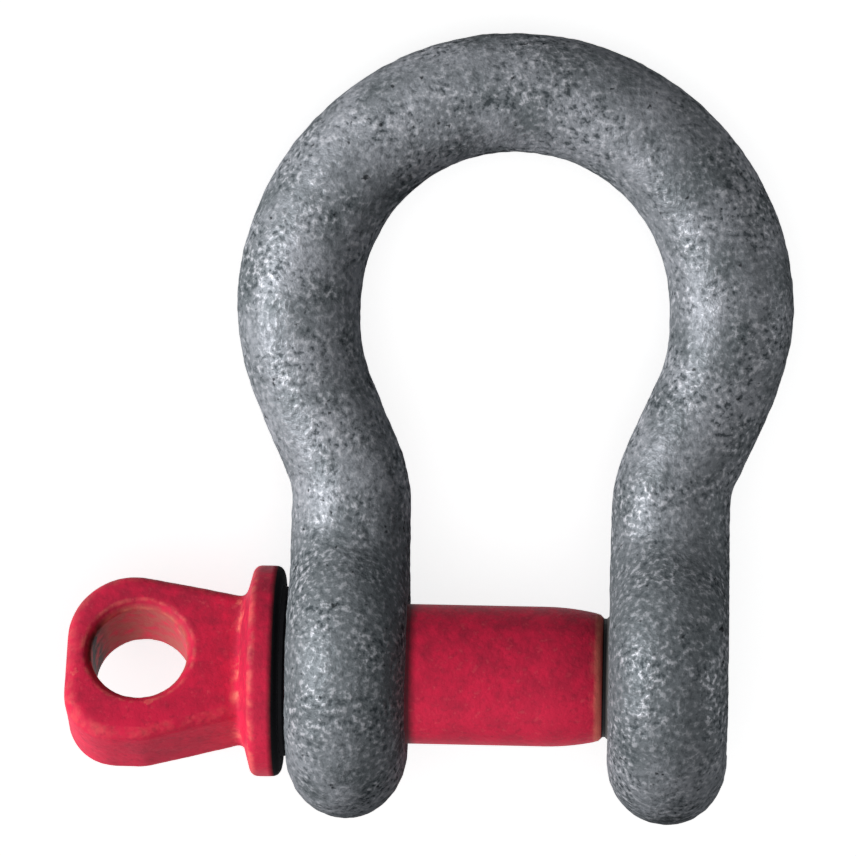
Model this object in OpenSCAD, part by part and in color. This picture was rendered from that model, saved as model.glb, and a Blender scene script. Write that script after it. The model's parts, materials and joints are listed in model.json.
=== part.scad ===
// Screw-pin bow shackle, lying on its side as it comes to rest.
// The pin runs along X and the bow opens towards +Y. All sizes are in millimetres.

/* [Bow] */
// Diameter of the round bar that the bow is forged from
bar_d = 19.2; // [15:0.1:23]
// How much the bar's diameter is drawn down at the waist
waist_draw = 0.6; // [0:0.1:2]
// How much thicker the bar is at the bow's two sides than at its crown and legs
side_swell = 0.8; // [0:0.1:2]
// Clear width between the two ears
jaw_w = 32; // [28:0.5:36]
// Widest clear width inside the bow
bow_w = 49.4; // [45:0.2:58]
// Slant of the straight waist, measured from the legs
waist_angle = 24; // [16:0.5:30]
// Radius of the hollow on the outside of each shoulder, above the ear
shoulder_hollow_r = 9; // [1:0.5:12]
// Straight length of each leg, from the ear's neck to the shoulder
leg_l = 0.5; // [0.5:0.5:20]

/* [Ears] */
// Outside diameter of each ear
ear_d = 46.8; // [42:0.2:54]
// Radius of the hollow flare between each ear and its leg
flare_r = 9; // [5:0.5:16]
// Chamfer at the mouths of both holes
hole_chamfer = 0.8; // [0.2:0.1:1.5]

/* [Pin shank and thread] */
// Diameter of the plain shank, and of the thread over its crests
pin_d = 22.4; // [18:0.2:24]
// Radial clearance of the shank in the plain ear
shank_clearance = 0.8; // [0.2:0.1:1.5]
// Radial clearance of the thread's crests in the tapped ear
thread_clearance = 0.1; // [0.05:0.01:0.2]
// Length of the relief neck's flat, between shank and thread
neck_flat_l = 0.7; // [0.2:0.1:2]
// Depth of the relief neck below the shank, and of its slope up to the thread
neck_depth = 1.7; // [0.8:0.1:2.5]
// How far the shank's shoulder stays back from the tapped ear
shoulder_gap = 1; // [0.3:0.1:2]
// Length over which the shank's end is drawn in
lead_l = 9; // [3:0.5:14]
// How far the shank's end is drawn in, on its radius
lead_draw = 1.1; // [0.3:0.1:1.4]
// How far the pin's tip stays inside the tapped ear's outer face
tip_recess = 3; // [0:0.5:6]
// Chamfer at the pin's tip
tip_chamfer = 1.8; // [0.5:0.1:3]

/* [Pin collar] */
// Diameter of the collar
collar_d = 34; // [30:0.2:38]
// Thickness of the collar at its rim
collar_t = 5.1; // [3:0.1:7]
// Rise of the collar's cone from its rim to the eye's root
collar_cone_h = 1.5; // [0.4:0.1:3]
// Rounding of the collar's rim
collar_round = 1.3; // [0.4:0.1:1.4]
// Width of the washer face that bears on the ear, from the shank out
washer_face_w = 2.4; // [2:0.1:3]
// Height of the washer face
washer_face_h = 0.8; // [0.3:0.1:1.5]
// Gap left between the washer face and the ear
seat_gap = 0.05; // [0.02:0.01:0.1]

/* [Pin eye] */
// Diameter of the eye's hole
eye_hole_d = 15.2; // [12:0.2:18]
// Wall beside the eye's hole, on its upper side
eye_side_wall = 5.9; // [5:0.1:8]
// Wall beside the eye's hole, on its fuller lower side
eye_heel_wall = 7.2; // [5:0.1:9]
// Wall at the eye's end, beyond its hole
eye_end_wall = 4.2; // [3.6:0.1:6]
// Radius of the eye's round upper corner
eye_end_r = 10.8; // [8:0.2:13]
// Radius of the eye's squarer lower corner
eye_heel_r = 8; // [4:0.2:10]
// Thickness of the eye
eye_t = 15.2; // [9:0.2:16]
// Distance from the eye's centre to the collar
eye_reach = 16.2; // [14:0.2:24]
// Width of the eye's root where it meets the collar
eye_root_w = 20.6; // [16:0.2:24]
// Rounding of the eye's edges
eye_round = 2.2; // [1:0.1:3]
// Rounding of the hole's edges, cut as a cone
eye_hole_chamfer = 1.2; // [0.4:0.1:2]
// Turn of the eye out of the bow's plane, where the thread comes tight
eye_clocking = 26; // [0:1:90]

/* [Hidden] */
$fn = 96;
hull_fn = 32;
overcut = 1;

// Fineness of the swept bow: sides of its section, and rings along each stretch.
section_sides = 32;
rim_step = 15;
core_rings = 3;
flare_rings = 14;
shoulder_rings = 5;
crown_rings = 38;

// Turn from the bow's side, on the way to its top, over which the swell of the bar fades.
swell_fade_angle = 60;

bar_r = bar_d / 2;
waist_d = bar_d - waist_draw;
side_d = bar_d + side_swell;
flat_angle = 180 / section_sides;
section_r = bar_r / cos(flat_angle);
ear_r = ear_d / 2;
ear_core_r = ear_r - bar_r;
leg_x = jaw_w / 2 + bar_r;
ear_outer_x = jaw_w / 2 + bar_d;

// Side view of an ear: the flare's hollow touches the ear's circle and the leg's side.
neck_y = sqrt(pow(ear_r + flare_r, 2) - pow(bar_r + flare_r, 2));
flare_z = bar_r + flare_r;
flare_angle = atan2(flare_z, neck_y);

// Front view of the bow: leg, shoulder bend, straight waist, then the round of the crown.
crown_bend_r = (bow_w + side_d) / 2;
shoulder_bend_r = shoulder_hollow_r + bar_r;
waist_l = (crown_bend_r - leg_x - (crown_bend_r + shoulder_bend_r) * (1 - cos(waist_angle)))
    / sin(waist_angle);
shoulder_y = neck_y + leg_l;
waist_bottom = [leg_x + shoulder_bend_r * (1 - cos(waist_angle)),
    shoulder_y + shoulder_bend_r * sin(waist_angle)];
crown_y = waist_bottom[1] + waist_l * cos(waist_angle) + crown_bend_r * sin(waist_angle);

// The ears and the back of the crown touch the floor.
rest_tilt = asin((ear_r - bar_r) / (crown_y + crown_bend_r));

// Sizes across the pin.
pin_r = pin_d / 2;
neck_r = pin_r - neck_depth;
washer_face_r = pin_r + washer_face_w;
collar_core_r = collar_d / 2 - collar_round;
eye_top_y = eye_hole_d / 2 + eye_side_wall;
eye_heel_y = eye_hole_d / 2 + eye_heel_wall;
eye_end_l = eye_hole_d / 2 + eye_end_wall;

// Stations along the pin, from its eye to its tip.
washer_face_x = -ear_outer_x - seat_gap;
collar_x = washer_face_x - washer_face_h;
collar_rim_x = collar_x - collar_t;
eye_root_x = collar_rim_x - collar_cone_h;
eye_x = eye_root_x - eye_reach;
shank_end_x = jaw_w / 2 - shoulder_gap;
thread_x = shank_end_x + neck_flat_l + neck_depth;
tip_x = ear_outer_x - tip_recess;

// Curve of the shank's drawn-in end, as [radius, x] points.
lead_steps = 6;
lead_curve = [for (i = [0:lead_steps]) let (s = i / lead_steps)
    [pin_r - lead_draw * s * s, shank_end_x - lead_l * (1 - s)]];

// Lays the shackle down from the upright frame of its own front view.
module lie_down() {
    rotate([-rest_tilt, 0, 0]) children();
}

// Half of the bar's section as angles from its depth axis, so that the flats of the section lie at bar_r.
half_steps = [for (i = [0:section_sides / 2 - 1]) -90 + flat_angle + 2 * flat_angle * i];

// Half depth of an ear, on a slice at height y, where the rim's round has turned by t.
function rim_reach(t) = section_r * cos(t);
function disc_z(y, t) = sqrt(max(0, pow(ear_core_r + rim_reach(t), 2) - y * y));
function flare_hollow_z(y, t) = flare_z - sqrt(pow(flare_z - rim_reach(t), 2) - pow(neck_y - y, 2));
function ear_z(y, t) = disc_z(y, t) >= y * tan(flare_angle) ? disc_z(y, t) : flare_hollow_z(y, t);

// Share of the rim's round that a slice at height y still cuts, below the ear's core.
function rim_share(y) = y > -ear_core_r ? 1 : acos((-y - ear_core_r) / section_r) / 90;

// Closed outline of the bar or of an ear's slice, as [across, depth] points.
function half_section(y) = [for (t = half_steps * rim_share(y)) [section_r * sin(t), ear_z(y, t)]];
function bar_half() = [for (t = half_steps) [section_r * sin(t), section_r * cos(t)]];
function closed(half) = concat(half, [for (i = [len(half) - 1:-1:0]) [half[i][0], -half[i][1]]]);

// Size of the bar's section, as a share of bar_d, on the way from one diameter to the next.
function eased(share) = share * share * (3 - 2 * share);
function bar_size(from_d, to_d, share) = (from_d + (to_d - from_d) * eased(share)) / bar_d;
// The same on the crown, where the turn is -waist_angle at the waist, 0 at the side and 90 at the top.
function crown_size(turn) = turn < 0
    ? bar_size(side_d, waist_d, -turn / waist_angle)
    : bar_size(side_d, bar_d, min(1, turn / swell_fade_angle));

// Stations along the bow's centre line, as [x, y, heading, size], from the right ear to the left.
ear_heights = concat(
    [for (a = [90 - rim_step:-rim_step:0]) -ear_core_r - bar_r * sin(a)],
    [for (i = [1:core_rings]) -ear_core_r * (1 - i / core_rings)],
    [for (i = [1:flare_rings]) neck_y * i / flare_rings]);
shoulder_turns = [for (i = [0:shoulder_rings]) waist_angle * i / shoulder_rings];
crown_turns = [for (i = [0:crown_rings]) -waist_angle + (180 + 2 * waist_angle) * i / crown_rings];
right_shoulder = [for (a = shoulder_turns)
    [leg_x + shoulder_bend_r * (1 - cos(a)), shoulder_y + shoulder_bend_r * sin(a), 90 - a,
        bar_size(bar_d, waist_d, a / waist_angle)]];
crown = [for (a = crown_turns)
    [crown_bend_r * cos(a), crown_y + crown_bend_r * sin(a), 90 + a,
        crown_size(min(a, 180 - a))]];
left_shoulder = [for (i = [shoulder_rings:-1:0])
    let (s = right_shoulder[i]) [-s[0], s[1], 360 - s[2], s[3]]];

// A section set across the centre line at its station.
function ring(station, section) = [for (p = section * station[3])
    [station[0] + p[0] * sin(station[2]), station[1] - p[0] * cos(station[2]), p[1]]];
function ear_rings(side, heights) = [for (y = heights)
    ring([side * leg_x, y, 180 - side * 90, 1], closed(half_section(y)))];
function reversed(list) = [for (i = [len(list) - 1:-1:0]) list[i]];

// The whole bow as one solid: rings of points joined by triangles, closed by a point under each ear.
module bow_blank() {
    bar = closed(bar_half());
    rings = concat(
        ear_rings(1, ear_heights),
        [for (s = concat(right_shoulder, crown, left_shoulder)) ring(s, bar)],
        ear_rings(-1, reversed(ear_heights)));
    n = section_sides;
    last = len(rings) - 1;
    first_pole = n * len(rings);
    polyhedron(
        points = concat([for (r = rings) each r], [[leg_x, -ear_r, 0], [-leg_x, -ear_r, 0]]),
        faces = [
            for (k = [0:n - 1]) let (next = (k + 1) % n) each concat(
                [[first_pole, next, k], [first_pole + 1, last * n + k, last * n + next]],
                [for (r = [0:last - 1]) each [
                    [r * n + k, r * n + next, (r + 1) * n + next],
                    [r * n + k, (r + 1) * n + next, (r + 1) * n + k]
                ]])
        ]);
}

// A hole along the pin's axis through one ear, with a chamfer at both mouths.
module ear_hole(inner_x, hole_r) {
    mouth_h = hole_chamfer + overcut;
    mouth_r = hole_r + mouth_h;
    translate([inner_x, 0, 0])
        rotate([0, 90, 0]) {
            translate([0, 0, -overcut]) cylinder(h = bar_d + 2 * overcut, r = hole_r);
            translate([0, 0, -overcut]) cylinder(h = mouth_h, r1 = mouth_r, r2 = hole_r);
            translate([0, 0, bar_d - hole_chamfer]) cylinder(h = mouth_h, r1 = hole_r, r2 = mouth_r);
        }
}

module bow() {
    color([0.50, 0.53, 0.55])
        lie_down()
            difference() {
                bow_blank();
                ear_hole(-ear_outer_x, pin_r + shank_clearance);
                ear_hole(jaw_w / 2, pin_r + thread_clearance);
            }
}

// Collar, shank, relief neck and thread, turned about the pin's axis.
module turned_length() {
    rotate([0, 90, 0])
        rotate_extrude() {
            polygon([
                [0, eye_root_x],
                [eye_root_w / 2, eye_root_x],
                [collar_core_r, collar_rim_x],
                [collar_core_r, collar_x],
                [washer_face_r, collar_x],
                [washer_face_r, washer_face_x],
                [pin_r, washer_face_x],
                each lead_curve,
                [neck_r, shank_end_x],
                [neck_r, thread_x - neck_depth],
                [pin_r, thread_x],
                [pin_r, tip_x - tip_chamfer],
                [pin_r - tip_chamfer, tip_x],
                [0, tip_x]
            ]);
            for (x = [collar_rim_x + collar_round, collar_x - collar_round])
                translate([collar_core_r, x]) circle(collar_round);
            translate([collar_core_r - collar_round, collar_rim_x + collar_round])
                square([2 * collar_round, collar_t - 2 * collar_round]);
        }
}

// A corner of the eye: a disc of the eye's thickness with rounded edges.
module eye_corner(x, y, r) {
    translate([x, y, 0])
        rotate_extrude($fn = 2 * hull_fn)
            for (z = [-1, 1])
                translate([r - eye_round, z * (eye_t / 2 - eye_round)]) circle(eye_round, $fn = hull_fn / 2);
}

// The flat forged eye, rounded on all its edges and drawn in to its root at the collar.
// Its upper corner is round, and its lower side runs full and level from the end to beside the hole.
module eye_plate() {
    end_x = eye_x - eye_end_l;
    hull() {
        eye_corner(end_x + eye_end_r, eye_top_y - eye_end_r, eye_end_r);
        eye_corner(end_x + eye_heel_r, eye_heel_r - eye_heel_y, eye_heel_r);
        eye_corner(eye_x, eye_heel_r - eye_heel_y, eye_heel_r);
        for (y = [-1, 1], z = [-1, 1])
            translate([eye_root_x, y * (eye_root_w / 2 - eye_round), z * (eye_t / 2 - eye_round)])
                rotate([0, 90, 0]) cylinder(h = collar_cone_h, r = eye_round, $fn = hull_fn);
    }
}

module eye() {
    mouth_h = eye_hole_chamfer + overcut;
    rotate([-eye_clocking, 0, 0])
        difference() {
            eye_plate();
            translate([eye_x, 0, -eye_t]) cylinder(h = 2 * eye_t, d = eye_hole_d);
            for (side = [0, 1])
                mirror([0, 0, side])
                    translate([eye_x, 0, eye_t / 2 - eye_hole_chamfer])
                        cylinder(h = mouth_h, d1 = eye_hole_d, d2 = eye_hole_d + 2 * mouth_h);
        }
}

module screw_pin() {
    color([0.76, 0.12, 0.22])
        lie_down() {
            turned_length();
            eye();
        }
}

bow();
screw_pin();
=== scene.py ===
import json
import math

import bpy
from mathutils import Matrix, Vector


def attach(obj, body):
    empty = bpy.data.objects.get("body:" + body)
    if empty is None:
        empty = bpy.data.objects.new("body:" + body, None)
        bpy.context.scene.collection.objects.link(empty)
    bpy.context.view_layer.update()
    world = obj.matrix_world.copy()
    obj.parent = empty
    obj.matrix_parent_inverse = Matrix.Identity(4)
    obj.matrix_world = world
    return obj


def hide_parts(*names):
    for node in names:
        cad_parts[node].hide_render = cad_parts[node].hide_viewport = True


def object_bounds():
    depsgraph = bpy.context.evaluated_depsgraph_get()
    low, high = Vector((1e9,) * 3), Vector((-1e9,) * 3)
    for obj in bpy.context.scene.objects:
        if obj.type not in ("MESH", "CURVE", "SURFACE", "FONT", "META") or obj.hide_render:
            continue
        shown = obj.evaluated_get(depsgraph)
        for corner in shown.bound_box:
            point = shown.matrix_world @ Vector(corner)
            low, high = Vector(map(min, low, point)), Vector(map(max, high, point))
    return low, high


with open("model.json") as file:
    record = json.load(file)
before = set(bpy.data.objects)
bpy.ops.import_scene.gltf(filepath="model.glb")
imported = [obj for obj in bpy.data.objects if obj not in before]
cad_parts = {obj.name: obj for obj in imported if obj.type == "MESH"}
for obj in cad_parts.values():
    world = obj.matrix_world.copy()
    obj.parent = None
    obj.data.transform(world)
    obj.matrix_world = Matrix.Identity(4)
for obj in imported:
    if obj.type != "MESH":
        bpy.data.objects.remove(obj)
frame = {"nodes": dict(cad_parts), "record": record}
cad_low, cad_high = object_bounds()

# Bow: one drop forging of round steel bar, bent to a bow with a waist on each side and an ear at each end.
# It is hot-dip galvanised after forging, so its skin is dull zinc, mottled and finely pitted.
# One ear is drilled plain for the pin's shank, and the other is tapped for its thread.
mm = 0.001
bar_d = 19.2 * mm
jaw_w = 32 * mm
ear_in = jaw_w / 2
ear_out = jaw_w / 2 + bar_d
plain_hole_r = 12.0 * mm
tapped_hole_r = 11.3 * mm
hole_chamfer = 0.8 * mm
plug_overlap = 1.5 * mm
overcut = 1 * mm
thread_pitch = 2.8 * mm
thread_depth = 1.5 * mm
thread_flat_share = 0.1
rings_per_pitch = 14
thread_step = thread_pitch / rings_per_pitch
turn_steps = 128
weld_distance = 0.001 * mm
on_the_wall = 0.01 * mm
bow_voxel = 0.57 * mm
zinc_thickness = 0.2 * mm
bow_sharp_edge = math.radians(40)


def pick(piece):
    """Makes one object the only selected one, and the active one."""
    bpy.ops.object.select_all(action="DESELECT")
    piece.select_set(True)
    bpy.context.view_layer.objects.active = piece


def copy_of_node(node, name):
    """A new object from a CAD node's mesh, with its loose triangles merged into one skin."""
    piece = bpy.data.objects.new(name, frame["nodes"][node].data.copy())
    piece.data.materials.clear()
    bpy.context.scene.collection.objects.link(piece)
    pick(piece)
    bpy.ops.object.mode_set(mode="EDIT")
    bpy.ops.mesh.select_all(action="SELECT")
    bpy.ops.mesh.remove_doubles(threshold=weld_distance)
    bpy.ops.object.mode_set(mode="OBJECT")
    return piece


def modified(piece, kind, **settings):
    """Adds one modifier with its settings and applies it."""
    pick(piece)
    modifier = piece.modifiers.new(kind.lower(), kind)
    for setting, value in settings.items():
        setattr(modifier, setting, value)
    bpy.ops.object.modifier_apply(modifier=modifier.name)


def cut_or_join(piece, tool, operation):
    """Takes another solid out of a piece, or joins it on, and removes that solid."""
    modified(piece, "BOOLEAN", operation=operation, solver="MANIFOLD", object=tool)
    bpy.data.objects.remove(tool)


def pressed_in(piece, marks, width, depth, detail):
    """Presses soft random hollows of one width into a piece's skin."""
    relief = bpy.data.textures.new(marks, "CLOUDS")
    relief.noise_scale = width
    relief.noise_depth = detail
    modified(piece, "DISPLACE", texture=relief, texture_coords="LOCAL", strength=-depth, mid_level=0)


def turned(name, outline):
    """A solid turned about X. The outline is (x, radius) points that start and end on the axis."""
    first_x, first_r = outline[0]
    bpy.ops.object.select_all(action="DESELECT")
    bpy.ops.mesh.primitive_plane_add(size=mm, location=(0, 0, 0))
    piece = bpy.context.active_object
    piece.name = name
    bpy.ops.object.mode_set(mode="EDIT")
    bpy.ops.mesh.select_all(action="SELECT")
    bpy.ops.mesh.merge(type="CENTER")
    bpy.ops.transform.translate(value=(first_x, 0, first_r))
    for (x, r), (next_x, next_r) in zip(outline, outline[1:]):
        bpy.ops.mesh.extrude_region_move(TRANSFORM_OT_translate={"value": (next_x - x, 0, next_r - r)})
    bpy.ops.mesh.select_all(action="SELECT")
    bpy.ops.mesh.spin(steps=turn_steps, angle=2 * math.pi, center=(0, 0, 0), axis=(1, 0, 0))
    bpy.ops.mesh.select_all(action="SELECT")
    bpy.ops.mesh.remove_doubles(threshold=weld_distance)
    bpy.ops.mesh.normals_make_consistent(inside=False)
    bpy.ops.object.mode_set(mode="OBJECT")
    return piece


def even_steps(start, end, step):
    """Places from start to end, about one step apart, both ends included."""
    count = max(1, round((end - start) / step))
    return [start + (end - start) * i / count for i in range(count + 1)]


def thread_wave(x, angle):
    """Height of a vee thread at a place on its cylinder, from 0 at the root to 1 at the crest."""
    turn = (x / thread_pitch - angle / (2 * math.pi)) % 1
    rise = 1 - abs(2 * turn - 1)
    return min(1, max(0, (rise - thread_flat_share) / (1 - 2 * thread_flat_share)))


bow = copy_of_node("bow", "forged_bow")

# The ears are closed while the forging's skin is made, and drilled again after it.
bpy.ops.object.mode_set(mode="EDIT")
for side in (-1, 1):
    bpy.ops.mesh.primitive_cylinder_add(
        vertices=turn_steps, radius=plain_hole_r + plug_overlap, depth=bar_d,
        location=(side * (jaw_w + bar_d) / 2, 0, 0), rotation=(0, math.pi / 2, 0))
bpy.ops.object.mode_set(mode="OBJECT")
modified(bow, "REMESH", mode="VOXEL", voxel_size=bow_voxel)
modified(bow, "SMOOTH", factor=0.5, iterations=8)
modified(bow, "DISPLACE", strength=zinc_thickness, mid_level=0)
pressed_in(bow, "forging_hollows", width=11 * mm, depth=0.25 * mm, detail=1)
pressed_in(bow, "scale_marks", width=3.2 * mm, depth=0.15 * mm, detail=2)
pressed_in(bow, "zinc_grain", width=1.4 * mm, depth=0.18 * mm, detail=1)

drill = turned("drill", [
    (-ear_out - overcut, 0),
    (-ear_out - overcut, plain_hole_r + hole_chamfer + overcut),
    (-ear_out + hole_chamfer, plain_hole_r),
    (-ear_in - hole_chamfer, plain_hole_r),
    (-ear_in + overcut, plain_hole_r + hole_chamfer + overcut),
    (-ear_in + overcut, 0)])
cut_or_join(bow, drill, "DIFFERENCE")

tap = turned("tap", [
    (ear_in - overcut, 0),
    (ear_in - overcut, tapped_hole_r + hole_chamfer + overcut),
    *[(x, tapped_hole_r) for x in even_steps(ear_in + hole_chamfer, ear_out - hole_chamfer, thread_step)],
    (ear_out + overcut, tapped_hole_r + hole_chamfer + overcut),
    (ear_out + overcut, 0)])
for vertex in tap.data.vertices:
    x, y, z = vertex.co
    r = math.hypot(y, z)
    if abs(r - tapped_hole_r) < on_the_wall:
        groove = thread_depth * (1 - thread_wave(x, math.atan2(z, y)))
        vertex.co.yz = Vector((y, z)) * (r + groove) / r
cut_or_join(bow, tap, "DIFFERENCE")
pick(bow)
bpy.ops.object.shade_smooth_by_angle(angle=bow_sharp_edge)


def feed(tree, socket, value):
    """Gives a node's input a value, or the output socket of another node."""
    if isinstance(value, bpy.types.NodeSocket):
        tree.links.new(value, socket)
    else:
        socket.default_value = value


def add_node(tree, kind, inputs=None, **settings):
    """Adds one shader node, with its settings and what goes into it."""
    node = tree.nodes.new("ShaderNode" + kind)
    for setting, value in settings.items():
        setattr(node, setting, value)
    for name, value in (inputs or {}).items():
        feed(tree, node.inputs[name], value)
    return node


def blend(tree, share, first, second):
    """A colour that goes from the first to the second as the share goes from 0 to 1."""
    mix = add_node(tree, "Mix", {"Factor": share}, data_type="RGBA")
    colours = [socket for socket in mix.inputs if socket.type == "RGBA"]
    for socket, colour in zip(colours, (first, second)):
        feed(tree, socket, (*colour, 1) if isinstance(colour, tuple) else colour)
    return next(socket for socket in mix.outputs if socket.type == "RGBA")


def ramp(tree, value, start, end, low=0, high=1):
    """A value that goes from low to high as another goes from start to end."""
    return add_node(tree, "MapRange", {
        "Value": value, "From Min": start, "From Max": end, "To Min": low, "To Max": high}).outputs["Result"]


def math_node(tree, operation, first, second):
    """What an operation makes of two values, held between 0 and 1."""
    return add_node(tree, "Math", {0: first, 1: second}, operation=operation, use_clamp=True).outputs["Value"]


def times(tree, first, second):
    """One mask held back by another, or by a plain share."""
    return math_node(tree, "MULTIPLY", first, second)


def plus(tree, first, second):
    """Two masks laid over each other."""
    return math_node(tree, "ADD", first, second)


def band(tree, value, start, end, fade):
    """Mask of a value between start and end, which fades out past both."""
    return times(tree, ramp(tree, value, start - fade, start), ramp(tree, value, end + fade, end))


def effect_group(name, inputs, output):
    """An empty shader node group with one output, and its sockets to build between."""
    group = bpy.data.node_groups.new(name, "ShaderNodeTree")
    for socket, kind in inputs.items():
        group.interface.new_socket(socket, in_out="INPUT", socket_type="NodeSocket" + kind)
    group.interface.new_socket(output, in_out="OUTPUT", socket_type="NodeSocketFloat")
    given = group.nodes.new("NodeGroupInput").outputs
    return group, given, group.nodes.new("NodeGroupOutput").inputs[output]


def use_group(tree, group, inputs):
    """Places a node group in a material with its own values, and gives its output."""
    return add_node(tree, "Group", inputs, node_tree=group).outputs[0]


# Mottling: soft spots of one width, spread evenly through the piece, with more or less fine grain in them.
mottling, given, made = effect_group("mottling", {
    "Place": "Vector", "Per Metre": "Float", "Grain": "Float", "Start": "Float", "End": "Float"}, "Spots")
spots = add_node(mottling, "TexNoise", {
    "Vector": given["Place"], "Scale": given["Per Metre"], "Detail": 4, "Roughness": given["Grain"]})
feed(mottling, made, ramp(mottling, spots.outputs["Fac"], given["Start"], given["End"]))

# Relief marks: the mesh's own raised edges, which wear, or its hollows, which keep their dirt.
relief_marks, given, made = effect_group("relief_marks", {"Start": "Float", "End": "Float"}, "Marks")
relief = add_node(relief_marks, "NewGeometry").outputs["Pointiness"]
feed(relief_marks, made, ramp(relief_marks, relief, given["Start"], given["End"]))

# Uneven skin: fine random height of one width, for bump.
uneven_skin, given, made = effect_group("uneven_skin", {"Place": "Vector", "Per Metre": "Float"}, "Height")
skin = add_node(uneven_skin, "TexNoise", {
    "Vector": given["Place"], "Scale": given["Per Metre"], "Detail": 2, "Roughness": 0.6})
feed(uneven_skin, made, skin.outputs["Fac"])


def mottled(tree, place, width, start, end, grain=0.5):
    """Mask of spots about one width across, from the mottling group."""
    return use_group(tree, mottling, {
        "Place": place, "Per Metre": 1 / width, "Grain": grain, "Start": start, "End": end})


def add_bump(tree, shader, place, width, depth, strength):
    """Fine uneven skin of one width and depth, as bump."""
    height = use_group(tree, uneven_skin, {"Place": place, "Per Metre": 1 / width})
    bump = add_node(tree, "Bump", {"Height": height, "Strength": strength, "Distance": depth})
    feed(tree, shader.inputs["Normal"], bump.outputs["Normal"])


def new_finish(name):
    """A material with its shader, and the place on the piece that its patterns read."""
    finish = bpy.data.materials.new(name)
    finish.use_nodes = True
    tree = finish.node_tree
    place = add_node(tree, "TexCoord").outputs["Object"]
    return finish, tree, tree.nodes["Principled BSDF"], place


# Zinc: blue-grey and cloudy, freckled most where the coating set rough, with small dark pits.
# It is painted darker, as painted shade, from each ear's middle to the flare above it, and has the soft gloss
# of bare metal.
zinc_pale = (0.305, 0.32, 0.35)
zinc_slate = (0.145, 0.162, 0.174)
freckle_pale = (0.54, 0.55, 0.59)
freckle_dark = (0.038, 0.048, 0.054)
pit_black = (0.012, 0.014, 0.016)
cloud_width = 8 * mm
# Painted shade: the band from each ear's middle to its flare, where the zinc is painted darker.
flare_shade_low_y, flare_shade_high_y = -2 * mm, 20 * mm
flare_shade_fade = 10 * mm
flare_shade_clouding = 0.15
rough_patch_width = 10 * mm
least_freckling, most_freckling = 0.42, 0.85
freckle_width = 0.95 * mm
freckle_grain = 0.55
hollow_share = 0.5
pit_width = 1.75 * mm
pit_share = 0.8
zinc_roughness, freckle_roughness = 0.46, 0.38

zinc, tree, shader, place = new_finish("galvanised_zinc")
upward = add_node(tree, "SeparateXYZ", {"Vector": place}).outputs["Y"]
# Painted shade: fewer pale clouds from each ear's middle to the flare above it.
flare_shade = band(tree, upward, flare_shade_low_y, flare_shade_high_y, flare_shade_fade)
clouds = mottled(tree, place, cloud_width, start=0.34, end=0.66)
clouds = times(tree, clouds, ramp(tree, flare_shade, 0, 1, 1, flare_shade_clouding))
freckling = mottled(tree, place, rough_patch_width, start=0.45, end=0.57)
freckling = ramp(tree, freckling, 0, 1, least_freckling, most_freckling)
pale_freckles = mottled(tree, place, freckle_width, start=0.53, end=0.66, grain=freckle_grain)
dark_freckles = mottled(tree, place, freckle_width, start=0.47, end=0.35, grain=freckle_grain)
hollows = use_group(tree, relief_marks, {"Start": 0.495, "End": 0.47})
pits = mottled(tree, place, pit_width, start=0.68, end=0.72)
colour = blend(tree, clouds, zinc_slate, zinc_pale)
colour = blend(tree, times(tree, pale_freckles, freckling), colour, freckle_pale)
colour = blend(tree, times(tree, dark_freckles, freckling), colour, freckle_dark)
colour = blend(tree, times(tree, hollows, hollow_share), colour, freckle_dark)
colour = blend(tree, times(tree, pits, pit_share), colour, pit_black)
feed(tree, shader.inputs["Base Color"], colour)
roughness = ramp(tree, pale_freckles, 0, 1, zinc_roughness, freckle_roughness)
feed(tree, shader.inputs["Roughness"], roughness)
shader.inputs["Metallic"].default_value = 0.2
shader.inputs["Specular IOR Level"].default_value = 0
shader.inputs["Specular Tint"].default_value = (0.1, 0.1, 0.1, 1)
add_bump(tree, shader, place, width=freckle_width, depth=0.3 * mm, strength=0.8)
bow.data.materials.clear()
bow.data.materials.append(zinc)
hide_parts("bow")
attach(bow, "bow")

# Screw pin: one steel forging, with a flat eye to turn it by and a collar that seats on the plain ear.
# Its shank and thread are turned and cut, and it is dipped in red paint down to the thread.
# The eye's edges are rounded by the forging die, and blend into the collar's face.
collar_x = -36.05 * mm
collar_r = 17.0 * mm
collar_rim_x = -41.15 * mm
collar_edge = 1.5 * mm
eye_root_x = -42.65 * mm
fillet_reach = 4 * mm
fillet_fade = 0.2
washer_face_x = -35.25 * mm
washer_face_r = 13.6 * mm
pin_r = 11.2 * mm
shank_end_x = 15 * mm
shank_step = 2 * mm
lead_l = 9 * mm
lead_draw = 1.1 * mm
lead_steps = 8
neck_r = 9.5 * mm
neck_end_x = 15.7 * mm
thread_x = 17.4 * mm
tip_x = 32.2 * mm
tip_chamfer = 1.8 * mm
thread_end_x = tip_x - tip_chamfer
turned_edge = 0.3 * mm
cut_back = 0.05 * mm
collar_overlap = 2 * mm
pin_voxel = 0.38 * mm
pin_sharp_edge = math.radians(35)

# The eye and the collar are forged, so they are cut off the CAD mesh and given a softer skin.
pin = copy_of_node("screw_pin", "eye_screw_pin")
bpy.ops.object.mode_set(mode="EDIT")
bpy.ops.mesh.select_all(action="SELECT")
bpy.ops.mesh.bisect(
    plane_co=(collar_x - cut_back, 0, 0), plane_no=(1, 0, 0), use_fill=True, clear_outer=True)
bpy.ops.object.mode_set(mode="OBJECT")
modified(pin, "REMESH", mode="VOXEL", voxel_size=pin_voxel)
modified(pin, "SMOOTH", factor=0.5, iterations=6)

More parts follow.
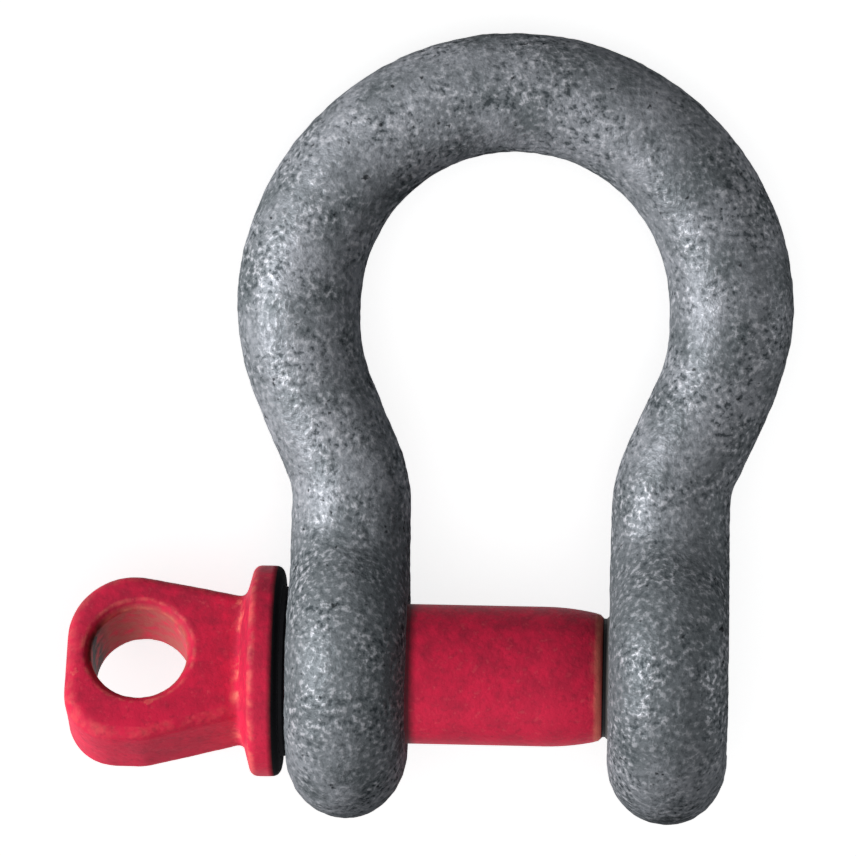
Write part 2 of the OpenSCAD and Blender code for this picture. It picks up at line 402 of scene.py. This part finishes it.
# The eye's root is worked into a soft fillet where it meets the collar.
root = pin.vertex_groups.new(name="eye_root")
for vertex in pin.data.vertices:
    from_corner = abs(vertex.co.x - collar_rim_x)
    inside = 1 - math.hypot(vertex.co.y, vertex.co.z) / (collar_r - collar_edge)
    weight = min(1, max(0, 1 - from_corner / fillet_reach)) * min(1, max(0, inside / fillet_fade))
    if weight > 0:
        root.add([vertex.index], weight, "REPLACE")
modified(pin, "SMOOTH", factor=0.6, iterations=40, vertex_group="eye_root")
pin.vertex_groups.clear()
pressed_in(pin, "eye_hollows", width=6 * mm, depth=0.12 * mm, detail=1)
pressed_in(pin, "paint_peel", width=1.6 * mm, depth=0.03 * mm, detail=1)

# The washer face, the shank, the neck and the thread are turned in one length and joined to the collar.
shank = [(x, pin_r) for x in even_steps(
    washer_face_x + shank_step / 2, shank_end_x - lead_l - shank_step / 2, shank_step)]
lead_in = [(shank_end_x - lead_l * (1 - i / lead_steps), pin_r - lead_draw * (i / lead_steps) ** 2)
           for i in range(lead_steps)]
run_up = [(x, neck_r + (pin_r - neck_r) * (x - neck_end_x) / (thread_x - neck_end_x))
          for x in even_steps(neck_end_x, thread_x, thread_step)]
thread_run = [(x, pin_r) for x in even_steps(thread_x, thread_end_x, thread_step)]
run_out = [(x, pin_r - (x - thread_end_x)) for x in even_steps(thread_end_x, tip_x, thread_step)]
length = turned("turned_length", [
    (collar_x - collar_overlap, 0),
    (collar_x - collar_overlap, washer_face_r),
    (washer_face_x - turned_edge, washer_face_r),
    (washer_face_x, washer_face_r - turned_edge),
    (washer_face_x, pin_r),
    *shank,
    *lead_in,
    (shank_end_x - turned_edge, pin_r - lead_draw),
    (shank_end_x, pin_r - lead_draw - turned_edge),
    (shank_end_x, neck_r + turned_edge),
    (shank_end_x + turned_edge, neck_r),
    *run_up,
    *thread_run[1:],
    *run_out[1:],
    (tip_x, 0)])
for vertex in length.data.vertices:
    x, y, z = vertex.co
    r = math.hypot(y, z)
    thread_r = pin_r - thread_depth * (1 - thread_wave(x, math.atan2(z, y)))
    if x > neck_end_x and r > thread_r:
        vertex.co.yz = Vector((y, z)) * thread_r / r
cut_or_join(pin, length, "UNION")
pick(pin)
bpy.ops.object.shade_smooth_by_angle(angle=pin_sharp_edge)

# Red paint: satin and uneven, with dark mottling that thickens towards the crown as painted shade, worn paler
# on the edges, and browner on the eye hole's wall as worn paint and painted shade. Painted highlights lie
# where the eye's root meets the collar and at the shank's end. The collar's seat, the neck and the hole's far
# wall are painted black as painted shade, a ring at the plain ear is the ear's painted shadow, and the thread
# is bare steel.
red = (0.55, 0.017, 0.054)
red_deep = (0.24, 0.016, 0.036)
red_fleck = (0.70, 0.09, 0.11)
# Pale colour of the edges' wear, also used for the painted highlights.
red_wear_and_highlight = (0.78, 0.24, 0.16)
red_brown = (0.34, 0.065, 0.060)
# Black of the painted shade and the painted shadow.
shade_black = (0.006, 0.006, 0.007)
steel_cut = (0.30, 0.29, 0.28)
patch_width, patch_share = 4.5 * mm, 0.4
speck_width, speck_share = 0.95 * mm, 0.4
fleck_width, fleck_share = 1.1 * mm, 0.3
blotch_width, upper_shade_share = 2.2 * mm, 0.6
# Where the painted shade on the side towards the crown fades in.
upper_shade_low_y, upper_shade_high_y = -6 * mm, 11 * mm
hole_wall_near, hole_wall_far = 0.2 * mm, 0.8 * mm
hole_shade_reach = 2 * mm
root_r = 11 * mm
root_reach = 1.6 * mm
root_patch_width = 4 * mm
edge_share = 0.5
wear_and_highlight_width, wear_and_highlight_share = 1.6 * mm, 0.6
# Width and share of the painted highlight at the shank's end.
shank_highlight_width, shank_highlight_share = 1.3 * mm, 0.5
neck_shade_fade = 0.2 * mm
# Widths of the black painted shade at the collar's seat and of the ear's painted shadow ring.
seat_shade_width = 1.9 * mm
ear_shadow_width, ear_shadow_share = 1.3 * mm, 0.9
paint_roughness, seat_roughness = 0.55, 1.0


def mount(name):
    """One of the record's mounts, by its name."""
    return next(entry for entry in frame["record"]["mounts"] if entry["name"] == name)


def distance_from_line(tree, place, start, axis):
    """How far a place on the piece is from a straight line."""
    offset = add_node(tree, "VectorMath", {0: place, 1: start}, operation="SUBTRACT").outputs["Vector"]
    lever = add_node(tree, "VectorMath", {0: offset, 1: axis}, operation="CROSS_PRODUCT").outputs["Vector"]
    return add_node(tree, "VectorMath", {0: lever}, operation="LENGTH").outputs["Value"]


paint, tree, shader, place = new_finish("red_paint")
places = add_node(tree, "SeparateXYZ", {"Vector": place}).outputs
along, upward = places["X"], places["Y"]
patches = mottled(tree, place, patch_width, start=0.45, end=0.70)
specks = mottled(tree, place, speck_width, start=0.52, end=0.70)
# Painted shade: the dark mottling thickens towards the crown.
upper_shade = mottled(tree, place, blotch_width, start=0.35, end=0.62)
upper_shade = times(tree, ramp(tree, upward, upper_shade_low_y, upper_shade_high_y), upper_shade)
flecks = mottled(tree, place, fleck_width, start=0.60, end=0.75)
colour = blend(tree, times(tree, patches, patch_share), red, red_deep)
colour = blend(tree, times(tree, specks, speck_share), colour, red_deep)
colour = blend(tree, times(tree, upper_shade, upper_shade_share), colour, red_deep)
colour = blend(tree, times(tree, flecks, fleck_share), colour, red_fleck)

hole = mount("eye_hole")
hole_r = hole["dims"]["r_mm"] * mm
hole_end_x = hole["pos_m"][0] - hole_r
from_hole = distance_from_line(tree, place, hole["pos_m"], hole["axis"])
hole_wall = ramp(tree, from_hole, hole_r + hole_wall_far, hole_r + hole_wall_near)
# Worn paint and painted shade: the eye hole's wall is browner.
hole_wear_and_shade = times(tree, hole_wall, mottled(tree, place, blotch_width, start=0.30, end=0.60))
# Painted shade: the wall at the hole's end towards the eye's tip is painted black.
hole_end = ramp(tree, along, hole_end_x + hole_shade_reach, hole_end_x + hole_shade_reach / 4)
hole_shade = times(tree, hole_wall, hole_end)
hole_shade = times(tree, hole_shade, mottled(tree, place, blotch_width, start=0.35, end=0.55))
colour = blend(tree, hole_wear_and_shade, colour, red_brown)
colour = blend(tree, hole_shade, colour, shade_black)

edges = use_group(tree, relief_marks, {"Start": 0.508, "End": 0.522})
from_axis = distance_from_line(tree, place, (0, 0, 0), (1, 0, 0))
# Painted highlight: a pale patch where the eye's root meets the collar.
eye_root = band(tree, along, eye_root_x, collar_rim_x, root_reach)
eye_root = times(tree, eye_root, ramp(tree, from_axis, root_r + root_reach, root_r))
eye_root = times(tree, eye_root, mottled(tree, place, root_patch_width, start=0.48, end=0.60))
# Real wear on the edges and the painted highlight at the eye's root, in one pale colour.
wear_and_highlight = plus(tree, times(tree, edges, edge_share), eye_root)
wear_and_highlight = times(tree, wear_and_highlight, mottled(tree, place, wear_and_highlight_width, start=0.40, end=0.62))
# Painted highlight: a pale band at the shank's end.
shank_end_highlight = ramp(tree, along, shank_end_x - shank_highlight_width, shank_end_x - shank_highlight_width / 2)
colour = blend(tree, times(tree, wear_and_highlight, wear_and_highlight_share), colour, red_wear_and_highlight)
colour = blend(tree, times(tree, shank_end_highlight, shank_highlight_share), colour, red_wear_and_highlight)

# Painted shade: the neck, the collar's seat and a ring at the plain ear are painted black.
neck_shade = ramp(tree, along, shank_end_x, shank_end_x + neck_shade_fade)
thread = ramp(tree, along, neck_end_x, thread_x)
# Painted shade: the collar's seat is painted black.
seat_shade = band(tree, along, collar_x - seat_shade_width / 2, washer_face_x, seat_shade_width / 2)
# Painted shadow: the plain ear's shadow on the shank, painted as a dark ring.
ear_shadow = band(tree, along, -ear_in - ear_shadow_width, -ear_in + ear_shadow_width / 4, ear_shadow_width)
blackened = plus(tree, plus(tree, neck_shade, seat_shade), times(tree, ear_shadow, ear_shadow_share))
colour = blend(tree, blackened, colour, shade_black)
colour = blend(tree, thread, colour, steel_cut)
feed(tree, shader.inputs["Base Color"], colour)
feed(tree, shader.inputs["Metallic"], thread)
feed(tree, shader.inputs["Roughness"], ramp(tree, seat_shade, 0, 1, paint_roughness, seat_roughness))
shader.inputs["Specular IOR Level"].default_value = 0.12
shader.inputs["Specular Tint"].default_value = (0.5, 0.5, 0.5, 1)
add_bump(tree, shader, place, width=0.9 * mm, depth=0.15 * mm, strength=0.6)
pin.data.materials.clear()
pin.data.materials.append(paint)
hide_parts("screw_pin")
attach(pin, "pin")

# Floor: a plain white table that the shackle lies on. It is white to the camera and in reflections,
# and throws little light back up, so that the shackle's far sides stay dark.
floor_size = 6
bounce_grey = (0.25, 0.25, 0.25, 1)
table_white = (0.97, 0.97, 0.97, 1)
glow_white = (1, 1, 1, 1)
table_glow = 0.78


def seen_directly(tree):
    """Mask of the rays that come from the camera, or from a reflection or through glass."""
    path = add_node(tree, "LightPath").outputs
    return plus(tree, plus(tree, path["Is Camera Ray"], path["Is Glossy Ray"]), path["Is Transmission Ray"])


bpy.ops.object.select_all(action="DESELECT")
bpy.ops.mesh.primitive_plane_add(size=floor_size, location=(0, 0, cad_low.z))
floor = bpy.context.active_object
floor.name = "floor"
table = bpy.data.materials.new("white_table")
table.use_nodes = True
tree = table.node_tree
tree.nodes.remove(tree.nodes["Principled BSDF"])
bounce = add_node(tree, "BsdfDiffuse", {"Color": bounce_grey}).outputs["BSDF"]
lit = add_node(tree, "BsdfDiffuse", {"Color": table_white}).outputs["BSDF"]
glow = add_node(tree, "Emission", {"Color": glow_white, "Strength": table_glow}).outputs["Emission"]
white = add_node(tree, "AddShader", {0: lit, 1: glow}).outputs["Shader"]
table_top = add_node(tree, "MixShader", {"Fac": seen_directly(tree), 1: bounce, 2: white}).outputs["Shader"]
feed(tree, tree.nodes["Material Output"].inputs["Surface"], table_top)
floor.data.materials.append(table)

# Light: a broad key close by on the left, which throws no shadow, a soft lamp past the ears for the pin, and
# a weak one low on the right. A lamp overhead lights only the table, with the shackle's shadow, and the room
# is even and dim.
key_distance = 0.5
soft_sun = math.radians(60)
narrow_sun = math.radians(6)
room_colour = (1, 1, 1, 1)
room_light, room_seen = 0.10, 1.0


def add_lamp(name, kind, energy, left, up, lit):
    """A lamp for some pieces only, so many degrees left of overhead and towards the crown."""
    lamp = bpy.data.objects.new(name, bpy.data.lights.new(name, kind))
    lamp.data.energy = energy
    lamp.rotation_euler = (math.radians(-up), math.radians(-left), 0)
    lamp.light_linking.receiver_collection = bpy.data.collections.new("lit_by_" + name)
    for piece in lit:
        lamp.light_linking.receiver_collection.objects.link(piece)
    bpy.context.scene.collection.objects.link(lamp)
    return lamp


key = add_lamp("key", "AREA", energy=3.45, left=58, up=5, lit=[bow, pin])
key.location = (cad_low + cad_high) / 2 + key.rotation_euler.to_matrix() @ Vector((0, 0, key_distance))
key.data.shape = "DISK"
key.data.size = 0.3
key.data.use_shadow = False
key.visible_camera = False
low_fill = add_lamp("low_fill", "SUN", energy=1.9, left=45, up=-50, lit=[pin])
low_fill.data.angle = soft_sun
low_fill.data.use_shadow = False
side_fill = add_lamp("side_fill", "SUN", energy=0.6, left=-89, up=0, lit=[bow, pin])
side_fill.data.angle = narrow_sun
overhead = add_lamp("overhead", "SUN", energy=0.6, left=0, up=0, lit=[floor])
overhead.data.angle = soft_sun
room = bpy.data.worlds.new("room")
bpy.context.scene.world = room
room.use_nodes = True
tree = room.node_tree
room_inputs = tree.nodes["Background"].inputs
room_inputs["Color"].default_value = room_colour
feed(tree, room_inputs["Strength"], ramp(tree, seen_directly(tree), 0, 1, room_light, room_seen))

# Camera: straight at the bow's face and turned a little, as the shackle's own front view.
# It stands almost a metre off, so near and far parts come out at nearly the same scale.
saddle = mount("bow_saddle")
rest_tilt = math.atan2(saddle["axis"][2], -saddle["axis"][1])
picture_px = 856
focal_px = 5815
pitch = math.radians(0.771)
yaw = math.radians(-1.992)
roll = math.radians(-1.117)
stand_off = 932.3 * mm
aim_x, aim_y = -12.826 * mm, 39.73 * mm
camera = bpy.data.objects.new("camera", bpy.data.cameras.new("camera"))
bpy.context.scene.collection.objects.link(camera)
bpy.context.scene.camera = camera
facing = Matrix.Rotation(roll, 4, "Z") @ Matrix.Rotation(yaw, 4, "Y") @ Matrix.Rotation(pitch, 4, "X")
turn = Matrix.Rotation(-rest_tilt, 4, "X") @ facing.inverted()
camera.matrix_world = turn @ Matrix.Translation((aim_x, aim_y, stand_off))
camera.data.lens = camera.data.sensor_width * focal_px / picture_px
bpy.context.scene.view_settings.view_transform = "Standard"
